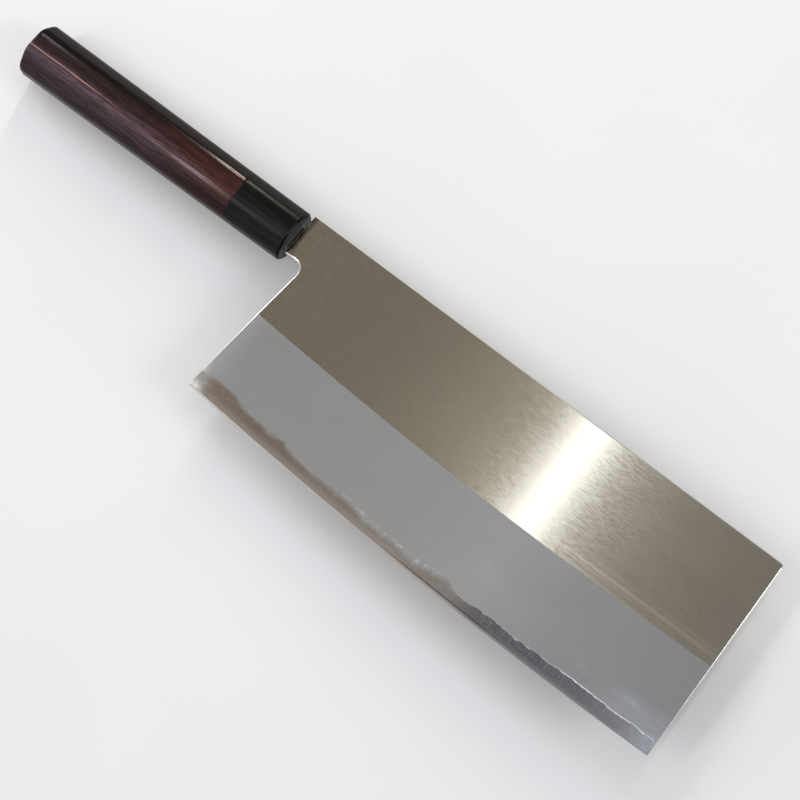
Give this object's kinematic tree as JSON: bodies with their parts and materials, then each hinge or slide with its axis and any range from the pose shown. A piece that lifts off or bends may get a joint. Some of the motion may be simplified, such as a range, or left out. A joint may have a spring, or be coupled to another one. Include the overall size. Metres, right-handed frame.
{
  "type": "chinese cleaver",
  "caption": "Wide rectangular kitchen cleaver: layered steel blade with a bellied edge and matte bevel, on an octagonal dark wood handle with a black ferrule.",
  "frame": {"origin": "centre of the outline seen from above, on the plane under the handle's lower facet", "axes": "+X along the blade to its front end, +Y to the spine, +Z out of the right face"},
  "size_m": [0.3598, 0.0902, 0.0206],
  "materials": {
    "core_steel": "satin, bright on the cutting edge",
    "cladding": "brushed flat over a matte bevel",
    "ferrule": "satin black horn",
    "handle_wood": "oiled rosewood",
    "dowel_wood": "bare",
    "bond": "set adhesive",
    "seal": "black resin"
  },
  "bodies": {
    "root": {"core_steel": "core_steel", "right_cladding": "cladding", "left_cladding": "cladding", "ferrule": "ferrule", "handle_body": "handle_wood", "dowel": "dowel_wood", "tang_bond": "bond", "tang_seal": "seal"}
  },
  "joints": []
}
